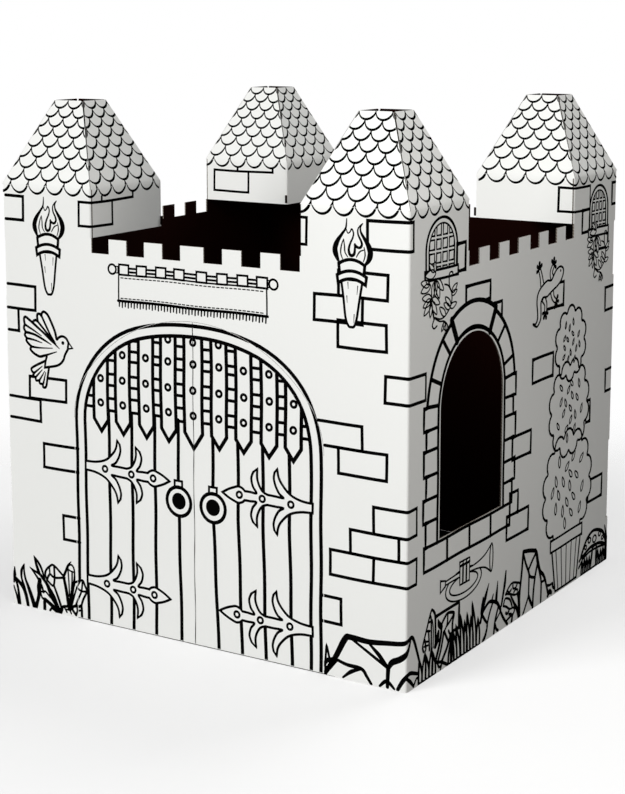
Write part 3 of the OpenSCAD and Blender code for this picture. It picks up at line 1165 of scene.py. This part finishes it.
def near_crystals(p, start):
    """Two clusters of crystals by the near corner, with grass in front of them."""
    tall = [(66, 60), (72, 90), (106, 146), (122, 122), (124, 60)]
    short = [(124, 30), (148, 80), (150, 101), (178, 116), (204, 110), (201, 70), (182, 52), (152, 18)]
    for cluster in (tall, short):
        p.area(moved(cluster, start), PAPER, 1)
    strokes(p, start, [
        ([(70, 66), (66, 76), (72, 90), (85, 112), (98, 136), (106, 146)], 4),
        ([(106, 146), (116, 138), (122, 122), (123, 60)], (4, 5, 5, 5)),
        ([(85, 106), (98, 102)], 4),
        ([(95, 122), (109, 122)], 4),
        ([(75, 86), (90, 82)], 3.5),
        ([(72, 76), (90, 74)], 3.5),
        ([(92, 104), (94, 84), (96, 62)], 4),
        ([(100, 134), (104, 120), (104, 62)], 4),
        ([(109, 122), (113, 100), (112, 62)], 3),
        ([(76, 88), (80, 70), (76, 64)], 4),
        ([(122, 62), (130, 72), (136, 88)], (8, 10, 6)),
        ([(134, 116), (139, 104), (150, 94)], (2, 9, 8)),
        ([(150, 100), (164, 110), (178, 116), (203, 110), (206, 103), (200, 88), (200, 70)], 5),
        ([(178, 114), (175, 92), (160, 80)], 4),
        ([(176, 90), (190, 96), (203, 104)], 4.5),
        ([(150, 100), (148, 80), (140, 58), (124, 30)], (5, 6, 6, 6)),
        ([(160, 80), (154, 62), (146, 44), (132, 22)], 5),
        ([(163, 80), (172, 66), (182, 52)], 4.5),
        ([(182, 76), (190, 66), (200, 70)], 4),
        ([(182, 52), (174, 40), (152, 20)], 6),
        ([(190, 66), (184, 52)], 5),
        ([(104, 28), (118, 32), (130, 24), (150, 18), (176, 4)], 5),
        ([(106, 20), (122, 4)], 6),
        ([(134, 18), (140, 10), (150, 12), (146, 4)], 4),
    ], 2)
    for u, height, lean in ((58, 52, -6), (72, 60, 4), (88, 54, -8), (102, 62, 3), (116, 50, -5),
                            (188, 58, 8), (200, 64, -8), (214, 70, -14), (228, 76, -12), (246, 92, -9),
                            (262, 74, -6), (274, 88, -6), (290, 76, -4), (304, 106, -12), (320, 62, 0)):
        blade(p, start + u, height, lean, 15, 2.2 + 0.004 * u)


def middle_rocks(p, start):
    """Boulders, a spotted mushroom and a large rock in the middle of the wall's foot."""
    strokes(p, start, [
        ([(342, 78), (356, 100), (372, 126)], (9, 8, 2)),
        ([(338, 70), (342, 90), (345, 102)], (8, 7, 3)),
        ([(408, 74), (412, 96), (416, 118)], (8, 6, 2)),
        ([(436, 56), (444, 80), (452, 104), (457, 130)], (5, 6, 7, 4)),
        ([(386, 80), (394, 94)], (5, 3)),
        ([(332, 50), (340, 66), (354, 76), (374, 83), (394, 78), (412, 70), (422, 60), (432, 48)], 6),
        ([(340, 64), (354, 48), (366, 34), (358, 14), (346, 3)], (5, 5, 4, 6, 7)),
        ([(392, 76), (376, 56), (364, 32)], 4.5),
        ([(422, 60), (412, 44), (404, 26), (400, 3)], 5),
        ([(432, 44), (416, 34), (404, 26)], 3.5),
        ([(404, 24), (412, 10), (422, 3)], 5),
        ([(456, 76), (466, 84), (478, 91), (492, 94), (510, 90), (534, 80), (526, 64), (508, 62),
          (488, 68), (470, 74), (456, 76)], 4),
        ([(468, 80), (476, 76), (486, 80)], 4),
        ([(494, 88), (496, 80), (508, 78), (516, 84)], 4),
        ([(500, 70), (510, 74), (520, 70)], 4),
        ([(484, 66), (502, 44), (520, 24), (530, 4)], (4, 5, 7, 8)),
        ([(520, 62), (528, 44), (532, 4)], (6, 8, 7)),
        ([(446, 52), (454, 66), (468, 64), (482, 56), (492, 40)], 4),
        ([(446, 52), (462, 46), (480, 36), (500, 34), (506, 26), (496, 16)], 4),
        ([(460, 32), (468, 28), (476, 32)], 5),
        ([(478, 24), (488, 22)], 5),
        ([(430, 46), (446, 26), (460, 12), (470, 3)], 5),
        ([(462, 12), (480, 16), (494, 18), (492, 3)], (4, 5, 6)),
        ([(530, 3), (531, 56), (540, 106), (547, 150)], 6),
        ([(547, 152), (578, 146), (614, 136)], 7),
        ([(614, 136), (621, 126), (628, 104), (640, 80), (656, 68), (668, 54), (678, 34), (690, 8)],
         (7, 8, 7, 6, 5, 6)),
        ([(547, 150), (560, 122), (576, 98), (586, 82), (612, 72)], 5),
        ([(576, 100), (596, 116), (617, 130)], 5.5),
        ([(626, 102), (614, 76), (606, 40), (604, 3)], 5.5),
        ([(580, 92), (580, 40)], 4.5),
        ([(580, 38), (566, 20), (552, 3)], 4.5),
        ([(580, 38), (592, 20), (603, 8)], 6),
        ([(630, 98), (640, 72), (648, 50), (648, 3)], 5),
        ([(648, 50), (670, 50)], 5),
        ([(678, 34), (696, 30), (712, 30), (716, 20), (736, 10), (752, 8)], 5),
        ([(686, 6), (696, 14), (708, 8)], (6, 10, 6)),
    ], 4)


def far_mushroom(p, start):
    """Broad spotted mushroom over short grass by the far corner."""
    for k in range(15):
        height, lean = 34 + 6 * math.sin(2.3 * k), 4 * math.sin(1.7 * k)
        blade(p, start + 888 + 10.6 * k, height, lean, 10, 2 + 0.1 * k)
    cap = smooth([(880, 46), (893, 64), (912, 83), (936, 95), (958, 98), (986, 92), (1010, 82), (1024, 68),
                  (1034, 44), (1010, 52), (985, 58), (950, 60), (925, 57), (900, 50)], True, 3)
    p.shape(moved(cap, start), BOLD, 5)
    p.shape(moved([(952, 58), (946, 30), (938, 2), (976, 2), (974, 30), (976, 58)], start), BOLD, 4)
    for u, v, r in ((908, 66, 6), (931, 79, 8), (962, 75, 11), (994, 80, 7), (1013, 65, 6)):
        p.line(oval(start + u, v, r, r * 0.8, 16), FINE + 0.6, 5, closed=True)
    strokes(p, start, [
        ([(870, 40), (885, 48)], 5),
        ([(868, 24), (886, 36)], 5),
        ([(1026, 92), (1038, 60), (1042, 30), (1043, 4)], (3, 7, 9, 9)),
        ([(890, 40), (906, 44), (936, 49), (985, 48), (1030, 42)], 4.5),
    ], 4.5)


def right_wall():
    """Stones, window surround, lattice windows, vines and figures of the right wall."""
    p = Print(around(0, 0, WALL), WALL, [WALL_AREA], SIDE_BOLD)
    start = WALL
    for u0, v0, u1, v1 in ((243, 763, 357, 802), (480, 379, 577, 431), (471, 254, 513, 304),
                           (457, 201, 570, 254), (580, 536, 691, 590), (643, 695, 743, 749),
                           (843, 851, 886, 904), (896, 801, 1000, 851), (121, 69, 230, 125),
                           (200, 840, 239, 897), (379, 701, 416, 749), (914, 179, 1000, 233),
                           (890, 383, 914, 436)):
        p.block(start + u0, v0, start + u1, v1)
    for u0, v0, v1 in ((1021, 904, 956), (993, 644, 701), (1006, 440, 494)):
        p.block(start + u0, v0, start + 1042, v1, "tlb")
    window_stones(p, start)
    lattice_window(p, start + 66, start + 201, 852, 960)
    lattice_window(p, start + 886, start + 996, 852, 956)
    vine(p, start + 105, 836, 1.0)
    vine(p, start + 926, 834, 0.85)
    clipped_tree(p, start + 790)
    p.bold = FOOT_BOLD
    trumpet(p, start + 138, 128)
    lizard(p, start)
    near_crystals(p, start)
    middle_rocks(p, start)
    far_mushroom(p, start)
    p.piece("right_wall_print", "castle")


# Walls that the photograph does not show

COURSE = 53


def plain_wall(name, start, seed):
    """Stones in courses and grass along the foot."""
    p = Print(around(0, 0, WALL), WALL, [WALL_AREA])
    draw = random.Random(seed)
    for v in range(120, 780, COURSE):
        u = draw.uniform(20, 300)
        while u < WALL - 150:
            wide = draw.uniform(88, 118)
            if draw.random() < 0.34:
                p.block(start + u, v, start + u + wide, v + COURSE)
            u += wide + draw.uniform(0, 160)
    for u0, v0, u1 in ((60, 850, 160), (130, 903, 232), (890, 850, 990), (820, 903, 930)):
        p.block(start + u0, v0, start + u1, v0 + COURSE)
    grass(p, start + 24, start + WALL - 24, seed + 1)
    p.piece(name + "_wall_print", "castle")


# Towers and roofs

ROW_FEET = (-16, 13, 42, 68, 93, 118, 142, 165, 187, ROOF_SLANT)
INNER_STONES = {
    "front_left": [(221, 901, 331, 954), (294, 954, 406, 1006)],
    "front_right": [(-48, 901, 16, 956)],
    "back_right": [(214, 904, 346, 960)],
    "back_left": [(28, 902, 135, 956), (101, 956, 210, 1006)],
}


def tile_width(row):
    """Tiles get narrower towards the top."""
    return 51.0 * (1 - 0.03 * row)


def tile_row(p, row, depth, low, clip):
    """Row of round roof tiles, centred on u = 0. low is the height of their lowest points."""
    width = tile_width(row)
    for j in range(-3, 3):
        mid = (j + (0.5 if row % 2 == 0 else 1.0)) * width
        p.line(arc(mid, low + depth, width / 2, depth, 180, 360, 12), TILE_PEN, 0, clip)


def tower_print(corner):
    """Lowest row of tiles, which hangs over the eave, and the stones of the inner faces."""
    mid_x, mid_y = CORNERS[corner]
    p = Print(around(mid_x, mid_y, TOWER), TOWER)
    below_eave = box(-900, 0, 1900, EAVE)
    width, depth = tile_width(0), ROW_FEET[1] - ROW_FEET[0]
    for side in range(4):
        middle = TOWER * (side + 0.5)
        for j in range(-3, 3):
            mid = middle + (j + 0.5) * width
            if abs(mid - middle) <= TOWER / 2 + 1:
                tile = arc(mid, EAVE + ROW_FEET[1], width / 2, depth, 180, 360, 24)
                p.line(tile, TILE_PEN, 0, [below_eave])
    for u0, v0, u1, v1 in INNER_STONES[corner]:
        p.block(u0, v0, u1, min(v1, 966), "brtl" if v1 < 970 else "rbl")
    p.piece(corner + "_tower_print", "castle")


def roof_print(corner):
    """Round tiles on the flaps of one roof. The liner reaches a little over the cut edges at the hips."""
    mid_x, mid_y = CORNERS[corner]
    low, top = TOWER / 2 - 1.3, ROOF_TOP / 2 - 2.6
    flap = [(-low, 0.6), (low, 0.6), (top, ROOF_SLANT - 0.6), (-top, ROOF_SLANT - 0.6)]
    for side in range(4):
        p = Print(roof_side(mid_x, mid_y, side))
        p.area(flap, PAPER)
        for row, (foot, head) in enumerate(zip(ROW_FEET, ROW_FEET[1:])):
            tile_row(p, row, head - foot, foot, [flap])
        p.piece(corner + "_roof_print_" + str(side + 1), "castle")


# Camera, floor and light

def camera():
    """The photograph's view. The focal length is in pixels, the tilt and the turn in degrees."""
    focal, picture = 1765.8, 794.0
    tilt, turn = 8.619, 31.848
    data = bpy.data.cameras.new("view")
    data.sensor_width = 36.0
    data.lens = focal * 36.0 / picture
    data.shift_y = -0.15
    made = bpy.data.objects.new("view", data)
    made.location = (2.1649, -3.5267, 1.37)
    made.rotation_euler = Euler((math.radians(90 - tilt), 0, math.radians(turn)))
    bpy.context.scene.collection.objects.link(made)
    bpy.context.scene.camera = made


def floor_material():
    """Pale to the camera, grey to other rays, painted nearly black inside the walls as painted shade, and
    clear far away.
    """
    material = bpy.data.materials.new("pale_floor")
    material.use_nodes = True
    tree = material.node_tree
    shader = tree.nodes["Principled BSDF"]
    shader.inputs["Roughness"].default_value = 0.9
    shader.inputs["Specular IOR Level"].default_value = 0.0
    rays = node(tree, "LightPath")
    colour = node(tree, "Mix", {"A": (0.25, 0.25, 0.25, 1), "B": (0.95, 0.95, 0.95, 1)}, data_type="RGBA")
    # Inside the walls the floor is painted nearly black: painted shade under the castle.
    shade = node(tree, "Mix", {"A": (0.01, 0.01, 0.01, 1)}, data_type="RGBA")
    clear = node(tree, "BsdfTransparent")
    blend = node(tree, "MixShader")
    place = node(tree, "TexCoord")
    far = node(tree, "VectorMath", operation="LENGTH")
    fade = node(tree, "MapRange", {"From Min": 0.75, "From Max": 2.2, "To Min": 0.5},
                interpolation_type="SMOOTHSTEP")
    sides = node(tree, "VectorMath", operation="ABSOLUTE")
    parts = node(tree, "SeparateXYZ")
    widest = node(tree, "Math", operation="MAXIMUM")
    outside = node(tree, "Math", {1: (WALL / 2 - 2) * MM}, operation="GREATER_THAN")
    seen = node(tree, "Math", operation="MULTIPLY")
    wire(tree, (rays, "Is Camera Ray", colour, "Factor"), (colour, "Result", shade, "B"),
         (shade, "Result", shader, "Base Color"), (place, "Object", far, 0), (place, "Object", sides, 0),
         (sides, "Vector", parts, "Vector"), (parts, "X", widest, 0), (parts, "Y", widest, 1),
         (widest, "Value", outside, 0), (outside, "Value", shade, "Factor"),
         (far, "Value", fade, "Value"), (fade, "Result", seen, 0), (outside, "Value", seen, 1),
         (seen, "Value", blend, "Fac"), (shader, "BSDF", blend, 1), (clear, "BSDF", blend, 2),
         (blend, "Shader", tree.nodes["Material Output"], "Surface"))
    return material


def floor():
    """Pale floor that fades into the white behind the object."""
    half, low = 9.0, -0.0005
    corners = [(-half, -half, low), (half, -half, low), (half, half, low), (-half, half, low)]
    mesh = bpy.data.meshes.new("floor")
    mesh.from_pydata(corners, [], [(0, 1, 2, 3)])
    made = bpy.data.objects.new("floor", mesh)
    bpy.context.scene.collection.objects.link(made)
    mesh.materials.append(floor_material())


def lamp(name, place, target, size, power, colour=(1, 1, 1)):
    """Square soft lamp that faces a point."""
    data = bpy.data.lights.new(name, "AREA")
    data.size = size
    data.energy = power
    data.color = colour
    made = bpy.data.objects.new(name, data)
    made.location = place
    made.rotation_euler = (Vector(target) - Vector(place)).to_track_quat("-Z", "Y").to_euler()
    bpy.context.scene.collection.objects.link(made)


def world():
    """White to the camera, soft grey to the object."""
    made = bpy.data.worlds.new("studio")
    bpy.context.scene.world = made
    made.use_nodes = True
    tree = made.node_tree
    light = tree.nodes["Background"]
    light.inputs["Color"].default_value = (1, 1, 1, 1)
    light.inputs["Strength"].default_value = 0.06
    white = node(tree, "Background", {"Color": (1, 1, 1, 1), "Strength": 1.0})
    rays = node(tree, "LightPath")
    seen = node(tree, "Math", operation="MAXIMUM")
    blend = node(tree, "MixShader")
    wire(tree, (rays, "Is Camera Ray", seen, 0), (rays, "Is Glossy Ray", seen, 1),
         (seen, "Value", blend, "Fac"), (light, "Background", blend, 1), (white, "Background", blend, 2),
         (blend, "Shader", tree.nodes["World Output"], "Surface"))


def studio():
    """Distant key lamp from the front left, weaker ones from above and from the right."""
    world()
    lamp("key", (-7.7, -17.4, 8.6), (0, 0, 0.7), 9.0, 3950)
    lamp("top", (0.9, 2.2, 4.4), (0, 0, 0.9), 2.0, 98)
    lamp("side", (2.7, -1.0, 1.1), (0.5, -0.4, 0.75), 0.9, 12.8, (1.0, 0.965, 0.93))
    lamp("near", (1.3, -1.5, 1.9), (0.5, -0.45, 1.0), 0.6, 9)
    bpy.context.scene.view_settings.view_transform = "Standard"


camera()
dress_boards()
front_wall()
door_print(-1)
door_print(1)
right_wall()
plain_wall("back", 2 * WALL, 11)
plain_wall("left", 3 * WALL, 21)
for tower in CORNERS:
    tower_print(tower)
    roof_print(tower)
floor()
studio()
